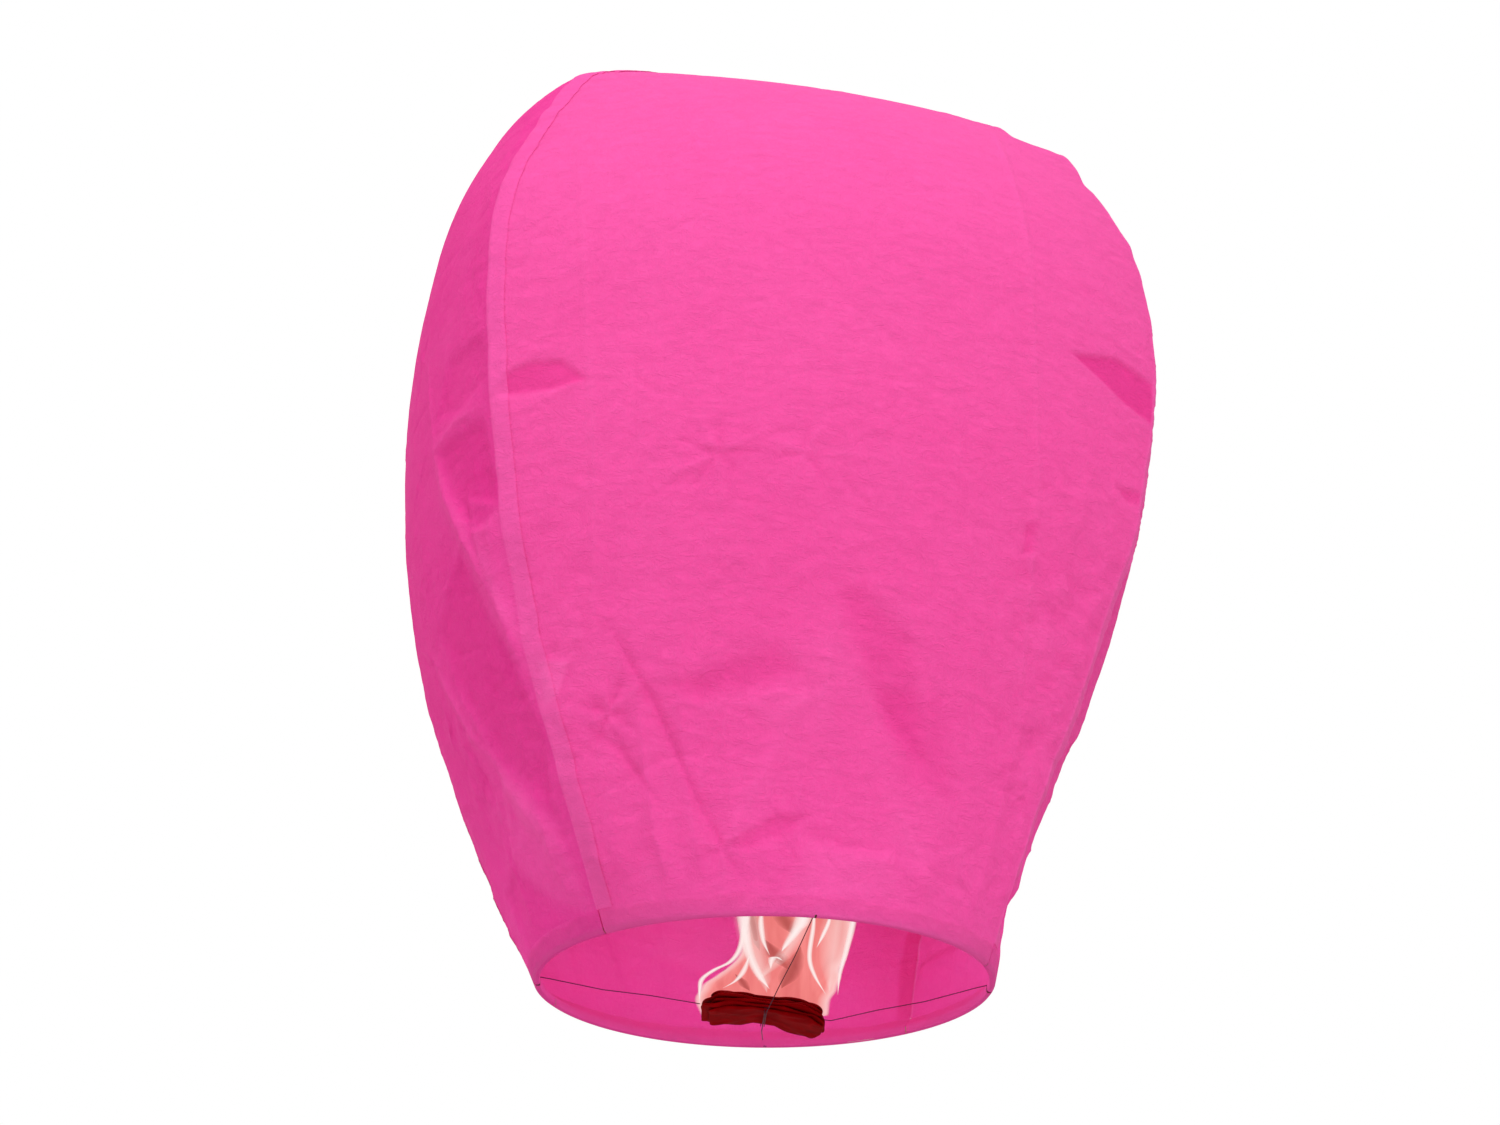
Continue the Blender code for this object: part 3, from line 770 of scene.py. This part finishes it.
class Nodes:
    """Short calls for building a material's node tree."""

    def __init__(self, name):
        self.material = bpy.data.materials.new(name)
        self.material.use_nodes = True
        self.tree = self.material.node_tree
        self.tree.nodes.clear()
        self.output = self.add("ShaderNodeOutputMaterial")

    def add(self, kind, **settings):
        node = self.tree.nodes.new(kind)
        for key, value in settings.items():
            setattr(node, key, value)
        return node

    def link(self, source, target):
        self.tree.links.new(source, target)

    def feed(self, socket, value):
        """Give a socket a number or a colour, or link it to an output."""
        if isinstance(value, (int, float)):
            socket.default_value = value
        elif isinstance(value, tuple):
            socket.default_value = (*value, 1)
        else:
            self.link(value, socket)

    def made(self, kind, output, **values):
        """An output of a new node with its inputs fed; underscores stand for spaces in their names."""
        node = self.add(kind)
        for name, value in values.items():
            self.feed(node.inputs[name.replace("_", " ")], value)
        return node.outputs[output]

    def shader(self, **values):
        return self.made("ShaderNodeBsdfPrincipled", "BSDF", **values)

    def place(self, scale=(1, 1, 1)):
        spot = self.add("ShaderNodeTexCoord")
        move = self.add("ShaderNodeMapping")
        move.inputs["Scale"].default_value = scale
        self.link(spot.outputs["Object"], move.inputs["Vector"])
        return move.outputs["Vector"]

    def noise(self, vector, scale, detail, rough, distortion=0.0):
        return self.made("ShaderNodeTexNoise", "Fac", Vector=vector, Scale=scale, Detail=detail,
                         Roughness=rough, Distortion=distortion)

    def ramp(self, value, stops):
        node = self.add("ShaderNodeValToRGB")
        elements = node.color_ramp.elements
        while len(elements) < len(stops):
            elements.new(0.5)
        for element, (place, colour) in zip(elements, stops):
            element.position = place
            element.color = (*colour, 1)
        self.link(value, node.inputs["Fac"])
        return node.outputs["Color"]

    def mix(self, share, first, second):
        node = self.add("ShaderNodeMix", data_type="RGBA")
        self.feed(node.inputs[0], share)
        self.feed(node.inputs[6], first)
        self.feed(node.inputs[7], second)
        return node.outputs[2]

    def maths(self, operation, first, second=0):
        node = self.add("ShaderNodeMath", operation=operation)
        self.feed(node.inputs[0], first)
        self.feed(node.inputs[1], second)
        return node.outputs[0]

    def times(self, first, second):
        return self.maths("MULTIPLY", first, second)

    def attribute(self, name):
        node = self.add("ShaderNodeAttribute", attribute_name=name)
        return node.outputs["Fac"]

    def bump(self, height, strength, distance):
        return self.made("ShaderNodeBump", "Normal", Height=height, Strength=strength, Distance=distance)

    def blend(self, share, first, second):
        """One shader mixed with another."""
        node = self.add("ShaderNodeMixShader")
        self.feed(node.inputs["Fac"], share)
        self.link(first, node.inputs[1])
        self.link(second, node.inputs[2])
        return node.outputs["Shader"]

    def finish(self, shader):
        self.link(shader, self.output.inputs["Surface"])
        return self.material


def paper_colour(nodes, place, fibre_place):
    """The pink: paler with height as painted light from above, with painted side light per gore, paler in
    clouds and in fibres, painted shade and highlight at folds and hems, and paler at laps.
    """
    split = nodes.add("ShaderNodeSeparateXYZ")
    nodes.link(place, split.inputs["Vector"])
    height = nodes.times(split.outputs["Z"], 1.25)
    # Painted light from above: paler with height
    lit_from_above = nodes.ramp(height, [(0.05, PINK_LOW), (0.55, PINK_MIDDLE), (0.95, PINK_HIGH)])
    # Painted side light: the shaded-side pink on the left gore, the lit pinks on the front, between them on
    # the others
    side_lit_pink = nodes.mix(nodes.attribute("lit_side_share"), PINK_SHADED_SIDE, lit_from_above)
    clouds = nodes.ramp(nodes.noise(place, 9, 5, 0.6), [(0.3, (0, 0, 0)), (0.75, (0.25, 0.25, 0.25))])
    cloudy = nodes.mix(clouds, side_lit_pink, PINK_PALE)
    fibres = nodes.noise(fibre_place, 420, 5, 0.7, 1.2)
    pale = nodes.ramp(fibres, [(0.45, (0, 0, 0)), (0.75, (0.12, 0.12, 0.12))])
    speckled = nodes.mix(pale, cloudy, PINK_FIBRE)
    tone = nodes.attribute("tone")
    # Painted highlight on ridges and painted shade in valleys, from the tone
    ridge = nodes.times(nodes.maths("MAXIMUM", tone), RIDGE_HIGHLIGHT)
    valley = nodes.times(nodes.maths("MINIMUM", tone), -VALLEY_SHADE)
    folded = nodes.mix(valley, nodes.mix(ridge, speckled, PINK_LAP_AND_HIGHLIGHT), PINK_VALLEY_SHADE)
    lapped = nodes.mix(nodes.times(nodes.attribute("lap"), LAP_TINT), folded, PINK_LAP_AND_HIGHLIGHT)
    # Painted highlight along the hem's roll round the hoop and on the inner leg
    edge = nodes.maths("MAXIMUM", nodes.attribute("hem"), nodes.attribute("inner"))
    return nodes.mix(nodes.times(edge, HEM_HIGHLIGHT), lapped, PINK_LAP_AND_HIGHLIGHT)


def paper_relief(nodes, fibre_place):
    """Fine crackle and fibres as a bump."""
    crackle = nodes.noise(nodes.place((1, 1, 1.8)), 60, 8, 0.7, 1.6)
    ridges = nodes.maths("ABSOLUTE", nodes.maths("SUBTRACT", crackle, 0.5))
    fine = nodes.noise(fibre_place, 700, 3, 0.6)
    relief = nodes.maths("ADD", ridges, nodes.times(fine, 0.1))
    return nodes.bump(relief, 0.7, 0.004)


def paper_material(name):
    """Dyed tissue: matt, with some of the light coming through from behind."""
    nodes = Nodes(name)
    fibre_place = nodes.place((1, 1, 0.35))
    colour = paper_colour(nodes, nodes.place(), fibre_place)
    normal = paper_relief(nodes, fibre_place)
    face = nodes.shader(Base_Color=colour, Normal=normal, Roughness=0.8, Specular_IOR_Level=0.08)
    glow = nodes.made("ShaderNodeBsdfTranslucent", "BSDF", Color=colour, Normal=normal)
    return nodes.finish(nodes.blend(SHINE_THROUGH, face, glow))


def plain_material(name, colour, dark, scale, roughness, stretch=(1, 1, 1), relief=0.3):
    """Two-tone grain with matching relief, for wire, bamboo, tape and the floor."""
    nodes = Nodes(name)
    grain = nodes.noise(nodes.place(stretch), scale, 6, 0.65, 0.6)
    tone = nodes.ramp(grain, [(0.3, dark), (0.7, colour)])
    normal = nodes.bump(grain, relief, GRAIN_DEPTH)
    face = nodes.shader(Base_Color=tone, Normal=normal, Roughness=roughness, Specular_IOR_Level=0.1)
    return nodes.finish(face)


def assign(item, material):
    item.data.materials.clear()
    item.data.materials.append(material)


# ---- fuel pad

# The pad's sizes in metres: five folded layers, pinched at the waist, two of them over the wire
PAD_TURN = math.radians(-12)
PAD_TILT = math.radians(6.5)
PAD_AXIS_HEIGHT = -0.022
LAYER_SIZES = ((0.096, 0.054), (0.104, 0.058), (0.100, 0.060), (0.102, 0.056), (0.094, 0.052))
LAYER_SHIFTS = (0.001, -0.002, 0.002, -0.001, 0.0005)
LAYER_THICK = 0.0036
WAIST_THICK = 0.0023
WAIST_HALF = 0.019
WAIST_LENGTH = 0.016
LAYER_PITCH = 0.95
LAYERS_BELOW_WIRE = 3
DROOP_RISE = 0.0035
DROOP_FALL = 0.006
DROOP_REACH = 0.05
WIRE_GROOVE = 0.00033
WIRE_GROOVE_WIDTH = 0.0018
ROUNDNESS = 2 / 5
LAYER_AROUND = 150
LAYER_RINGS = 26
WAX_CHARRED = (0.14, 0.0003, 0.0012)
WAX_MAROON = (0.24, 0.0004, 0.002)
WAX_RED = (0.30, 0.001, 0.004)


def pad_frame():
    """The pad's own frame: X along it on the carrying wire, its right end hanging lower, Z up."""
    turn = Matrix.Rotation(PAD_TURN, 4, "Z") @ Matrix.Rotation(PAD_TILT, 4, "Y")
    return Matrix.Translation((0, 0, PAD_AXIS_HEIGHT)) @ turn


def layer_rim(index, angle, swing):
    """A layer's bow-tie outline with round corners and wavy sides, and how pinched each point is."""
    length, width = LAYER_SIZES[index]
    cos, sin = np.cos(angle), np.sin(angle)
    rim_x = np.sign(cos) * np.abs(cos) ** ROUNDNESS * length / 2
    pinched = np.exp(-((rim_x / WAIST_LENGTH) ** 2))
    half = width / 2 - (width / 2 - WAIST_HALF) * pinched
    lobes = 1 + 0.05 * np.sin(3 * angle + swing[0]) + 0.03 * np.sin(7 * angle + swing[1])
    rim_x = rim_x * (0.97 + 0.03 * np.sin(5 * angle + swing[2])) + LAYER_SHIFTS[index]
    return rim_x, np.sign(sin) * np.abs(sin) ** ROUNDNESS * half * lobes, pinched


def layer_ring(index, side, share, rim_x, rim_y, ruffle):
    """A ring of a layer's upper (1) or lower (-1) face, at a share of the way out to its rim."""
    x, y = rim_x * share, rim_y * share
    thick = LAYER_THICK - (LAYER_THICK - WAIST_THICK) * np.exp(-((x / WAIST_LENGTH) ** 2))
    middle = (index - LAYERS_BELOW_WIRE + 0.5) * thick * LAYER_PITCH
    edge = math.sqrt(max(1 - share**14, 0))
    rumple = 0.0005 * smooth_noise(x / 0.008 + 9 * index, y / 0.006 + 4 * side, 310 + index)
    rumple = rumple + 0.0009 * share**3 * ruffle
    on_wire = (index, side) in ((LAYERS_BELOW_WIRE - 1, 1), (LAYERS_BELOW_WIRE, -1))
    groove = WIRE_GROOVE * on_wire * np.exp(-((y / WIRE_GROOVE_WIDTH) ** 2))
    body = np.maximum(thick * 0.5 - groove, 0.0002)
    droop = DROOP_RISE - DROOP_FALL * (x / DROOP_REACH) ** 2
    z = middle + side * body * edge + rumple * (0.3 + 0.7 * edge) + droop
    return np.stack([x, y, z], -1)


def pad_layer(index):
    """One folded layer of the waxed wad, with rolled edges and a rumpled face."""
    swing = np.random.default_rng(300 + index).uniform(0, 6.28, 4)
    angle = np.linspace(0, math.tau, LAYER_AROUND, endpoint=False)
    rim_x, rim_y, pinched = layer_rim(index, angle, swing)
    ruffle = np.sin(6 * angle + swing[3]) * (1 - pinched)
    shares = np.sin(np.linspace(0, math.pi / 2, LAYER_RINGS))
    steps = [(1, share) for share in shares] + [(-1, share) for share in shares[-2::-1]]
    rings = [layer_ring(index, side, share, rim_x, rim_y, ruffle) for side, share in steps]
    points, faces = capped_rings(rings[1:-1], (rings[0], rings[-1]))
    item = new_object(f"fuel_layer_{index + 1}_folded", points, [tuple(reversed(face)) for face in faces])
    item.data.transform(pad_frame())
    return item


def pad_material():
    """Wax-soaked paper: dark maroon, blacker where it chars, with a satin skin of wax."""
    nodes = Nodes("waxed maroon")
    patches = nodes.noise(nodes.place(), 45, 6, 0.65, 0.8)
    tone = nodes.ramp(patches, [(0.3, WAX_CHARRED), (0.6, WAX_MAROON), (0.85, WAX_RED)])
    grain = nodes.noise(nodes.place((1, 1, 3)), 320, 6, 0.7)
    relief = nodes.maths("ADD", patches, nodes.times(grain, 0.3))
    normal = nodes.bump(relief, 0.5, 0.0008)
    face = nodes.shader(Base_Color=tone, Normal=normal, Roughness=0.7, Specular_IOR_Level=0.01)
    return nodes.finish(face)


# ---- flame

# The flame stands in an upright sheet turned to face the front left; its sizes are in millimetres:
# sideways, height above the pad, and half width at each point up a tongue
FLAME_TURN = math.radians(-15)
FLAME_BASE = PAD_AXIS_HEIGHT + 0.007
TONGUE_ROWS = 70
TONGUE_AROUND = 36
TONGUE_THIN = 0.004
FLAME_EDGE = (1.0, 0.62, 0.60)
PEACH = ((0.78, 0.16, 0.15), (0.95, 0.27, 0.25))
DUSKY = ((0.42, 0.07, 0.07), (0.55, 0.11, 0.10))
WHITE = ((1.0, 0.80, 0.78), (1.0, 0.88, 0.86))
HAZE = ((1.0, 0.70, 0.66), (1.0, 0.80, 0.78))
FLAME_BODY = ((2, -9, 53), (1, 2, 56), (3, 10, 57), (5, 17, 56), (11, 24, 52), (17, 31, 47), (23, 44, 45),
              (27, 69, 46), (30, 95, 41), (30, 118, 30), (27, 138, 15), (24, 152, 0))
POCKETS = (
    ((-11, 78, 0), (-10, 68, 5), (-7, 52, 4), (-4, 42, 0)),
    ((10, 84, 0), (16, 70, 9), (20, 62, 6), (24, 56, 0)),
    ((0, 52, 0), (7, 42, 8), (13, 34, 8), (20, 26, 0)),
    ((30, 46, 0), (26, 34, 7), (20, 20, 9), (14, 10, 0)),
    ((-24, 22, 0), (-19, 17, 4), (-16, 12, 4), (-12, 8, 0)),
)
HAZES = (
    ((-17, 108, 0), (-14, 76, 13), (-9, 46, 13), (-2, 24, 9), (2, 6, 0)),
    ((62, 108, 0), (60, 70, 13), (56, 36, 12), (53, 6, 0)),
    ((34, 100, 0), (30, 66, 9), (20, 44, 8), (8, 30, 7), (-6, 16, 0)),
)
WISPS = (
    ((-17, 110, 0), (-17, 80, 5.5), (-17, 62, 4.5), (-12, 38, 4.0), (-4, 20, 3.2), (4, 9, 0)),
    ((-12, 38, 0), (-17, 24, 2.4), (-24, 15, 1.6), (-34, 9, 0)),
    ((38, 120, 0), (33, 72, 6.5), (26, 58, 4.5), (18, 46, 2.5), (14, 40, 0)),
    ((15, 33, 0), (9, 36, 2.6), (6, 34, 3.0), (5, 26, 0)),
    ((54, 74, 0), (53, 66, 1.6), (48, 54, 1.6), (43, 44, 0)),
    ((42, 80, 0), (40, 60, 1.8), (37, 36, 1.9), (41, 20, 1.6), (50, 4, 0)),
    ((-2, 84, 0), (-3, 66, 2.2), (-1, 50, 1.8), (4, 38, 0)),
    ((76, 90, 0), (73, 66, 2.6), (67, 40, 2.2), (62, 22, 1.6), (60, 4, 0)),
    ((-28, 6, 0), (-31, 0, 1.0), (-34, -6, 1.0), (-36, -11, 0)),
    ((-15, 92, 0), (-16, 66, 2.6), (-20, 44, 2.4), (-28, 32, 2.4), (-41, 25, 2.6), (-51, 17, 2.2),
     (-53, 8, 1.4), (-53, -3, 0)),
)


def tongue(name, spine, material, forward, thickness, seed, spread=1.0):
    """A flattened, closed tongue of flame that stores how near each point is to its outline."""
    spine = np.array(spine, float) / 1000
    fine = np.linspace(0, 1, TONGUE_ROWS)
    middle, up, half = smooth_curve(fine, np.linspace(0, 1, len(spine)), spine).T
    half = np.maximum(half * spread, 0.0002)
    wander = smooth_noise(fine * 9 + seed, np.full_like(fine, 0.5), 400 + seed)
    middle = middle + 0.06 * half * wander
    across = np.array([math.cos(FLAME_TURN), math.sin(FLAME_TURN), 0])
    deep = np.array([math.sin(FLAME_TURN), -math.cos(FLAME_TURN), 0])
    angle = np.linspace(0, math.tau, TONGUE_AROUND, endpoint=False)
    side = np.cos(angle)
    front = np.sin(angle) * thickness
    rings = []
    for step in range(TONGUE_ROWS):
        ring = np.outer(middle[step] + half[step] * side, across)
        ring += np.outer(forward + front * min(1, half[step] / TONGUE_THIN), deep)
        ring[:, 2] = FLAME_BASE + up[step]
        rings.append(ring)
    points, faces = capped_rings(rings, (rings[0], rings[-1]))
    item = new_object(name, points, faces)
    store(item, "rim", [*np.tile(np.abs(side), TONGUE_ROWS), 1, 1])
    assign(item, material)
    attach(item, "fuel_pad")
    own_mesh(item)


def flame_material(name, colours, rim_colour, solid, sharp):
    """Glowing gas: streaked, with its own colour along its outline, and fading out right at it."""
    nodes = Nodes(name)
    streaks = nodes.noise(nodes.place((1, 1, 0.3)), 55, 3, 0.5, 1.0)
    inside = nodes.ramp(streaks, [(0.3, colours[0]), (0.65, colours[1])])
    rim = nodes.attribute("rim")
    edging = nodes.ramp(rim, [(0.80, (0, 0, 0)), (0.95, (1, 1, 1))])
    glow = nodes.made("ShaderNodeEmission", "Emission", Color=nodes.mix(edging, inside, rim_colour))
    clear = nodes.made("ShaderNodeBsdfTransparent", "BSDF")
    solidity = nodes.ramp(rim, [(sharp, (solid, solid, solid)), (1.0, (0, 0, 0))])
    return nodes.finish(nodes.blend(solidity, clear, glow))


def flame():
    """A peach body with dusky pockets, and pale haze and whiter wisps a little in front of it."""
    peach = flame_material("peach flame", PEACH, FLAME_EDGE, solid=0.78, sharp=0.93)
    dusky = flame_material("dusky flame", DUSKY, DUSKY[1], solid=0.75, sharp=0.1)
    white = flame_material("white flame", WHITE, FLAME_EDGE, solid=0.88, sharp=0.0)
    haze = flame_material("flame haze", HAZE, FLAME_EDGE, solid=0.26, sharp=0.0)
    tongue("flame_body", FLAME_BODY, peach, forward=0.0, thickness=0.009, seed=1)
    for index, spine in enumerate(POCKETS):
        tongue(f"flame_pocket_{index + 1}", spine, dusky, forward=0.0105, thickness=0.0008, seed=10 + index)
    for index, spine in enumerate(HAZES):
        tongue(f"flame_haze_{index + 1}", spine, haze, forward=0.0118, thickness=0.0006, seed=40 + index)
    for index, spine in enumerate(WISPS):
        forward = 0.0130 + 0.0012 * (index % 3)
        tongue(f"flame_wisp_{index + 1}", spine, white, forward, 0.0008, seed=20 + index, spread=1.2)


# ---- camera, light and stage


FLOOR_HALF = 9
FLOOR_HEIGHT = -2.6


def place_camera():
    """A 75 mm lens low in front and to the left, looking up at the lantern."""
    azimuth = math.radians(-15)
    sight = math.radians(16.6)
    distance = 2.6
    pitch = math.radians(24.32)
    roll = math.radians(0.33)
    yaw = math.radians(0.32)
    back = Vector((math.sin(azimuth), -math.cos(azimuth), 0))
    place = back * (distance * math.cos(sight)) - Vector((0, 0, distance * math.sin(sight)))
    data = bpy.data.cameras.new("camera")
    data.lens = 75
    data.sensor_width = 36
    camera = add_object("camera", data)
    aim = Matrix.Rotation(azimuth + yaw, 4, "Z") @ Matrix.Rotation(math.pi / 2 + pitch, 4, "X")
    camera.matrix_world = Matrix.Translation(place) @ aim @ Matrix.Rotation(roll, 4, "Z")
    bpy.context.scene.camera = camera


def area_light(name, place, target, size, power):
    """A round soft box at a place, turned towards a target."""
    data = bpy.data.lights.new(name, "AREA")
    data.shape = "DISK"
    data.size = size
    data.energy = power
    item = add_object(name, data)
    item.location = place
    item.rotation_euler = (Vector(target) - Vector(place)).to_track_quat("-Z", "Y").to_euler()


def flame_lamp():
    """The flame's light inside the bag."""
    data = bpy.data.lights.new("flame_light", "POINT")
    data.energy = 1.15
    data.color = (0.72, 0.9, 0.98)
    data.shadow_soft_size = 0.04
    add_object("flame_light", data).location = (0.02, 0, 0.09)


def white_background(tree, strength):
    node = tree.nodes.new("ShaderNodeBackground")
    node.inputs["Color"].default_value = (1, 1, 1, 1)
    node.inputs["Strength"].default_value = strength
    return node.outputs["Background"]


def studio_world():
    """Even light from all round, a little weaker than the camera sees."""
    world = bpy.data.worlds.new("studio")
    world.use_nodes = True
    tree = world.node_tree
    tree.nodes.clear()
    output = tree.nodes.new("ShaderNodeOutputWorld")
    rays = tree.nodes.new("ShaderNodeLightPath")
    mixed = tree.nodes.new("ShaderNodeMixShader")
    tree.links.new(rays.outputs["Is Camera Ray"], mixed.inputs["Fac"])
    tree.links.new(white_background(tree, 0.84), mixed.inputs[1])
    tree.links.new(white_background(tree, 1.0), mixed.inputs[2])
    tree.links.new(mixed.outputs["Shader"], output.inputs["Surface"])
    bpy.context.scene.world = world
    bpy.context.scene.view_settings.view_transform = "Standard"


def light_stage():
    """The studio's lights, and a pale floor far below."""
    studio_world()
    area_light("key", place=(0.0, -3.0, 1.9), target=(0, 0, 0.42), size=1.6, power=54)
    area_light("left_fill", place=(-2.0, -0.5, 2.6), target=(-0.2, 0, 0.5), size=0.8, power=16)
    flame_lamp()
    sides = ((-1, -1), (1, -1), (1, 1), (-1, 1))
    corners = [(x * FLOOR_HALF, y * FLOOR_HALF, FLOOR_HEIGHT) for x, y in sides]
    floor = new_object("floor", corners, [(0, 1, 2, 3)])
    assign(floor, plain_material("floor", (0.82, 0.81, 0.8), (0.78, 0.77, 0.76), 3, 0.9, relief=0.05))


# ---- build



def envelope():
    """The four gores with their hems, and the seal over their tips."""
    pink = paper_material("pink tissue")
    for panel in PANELS:
        wall = gore_wall(panel)
        hem = gore_hem(panel)
        for piece in (wall, hem):
            assign(piece, pink)
            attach(piece, "envelope")
        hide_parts(panel + "_gore")
        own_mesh(wall)
    crown = crown_paper()
    assign(crown, pink)
    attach(crown, "crown")
    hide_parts("crown_patch")


def fuel_pad():
    """The pad's folded layers, which rock together on the carrying wire."""
    waxed = pad_material()
    for index in range(len(LAYER_SIZES)):
        layer = pad_layer(index)
        assign(layer, waxed)
        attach(layer, "fuel_pad")
        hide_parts(f"fuel_layer_{index + 1}")


def fittings():
    """Better finishes for the solid parts that stay as they are."""
    iron = plain_material("annealed iron", (0.10, 0.02, 0.035), (0.05, 0.01, 0.02), 900, 0.6)
    bamboo = plain_material("split bamboo", (0.62, 0.43, 0.22), (0.38, 0.24, 0.11), 160, 0.6, (1, 1, 8))
    tape = plain_material("gummed paper", (0.78, 0.70, 0.56), (0.68, 0.58, 0.44), 260, 0.85)
    for node in ("carrying_wire", "cross_wire", "pad_tie_wire"):
        assign(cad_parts[node], iron)
    assign(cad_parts["hoop_strip"], bamboo)
    assign(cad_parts["hoop_splice_tape"], tape)


place_camera()
light_stage()
envelope()
fuel_pad()
flame()
fittings()
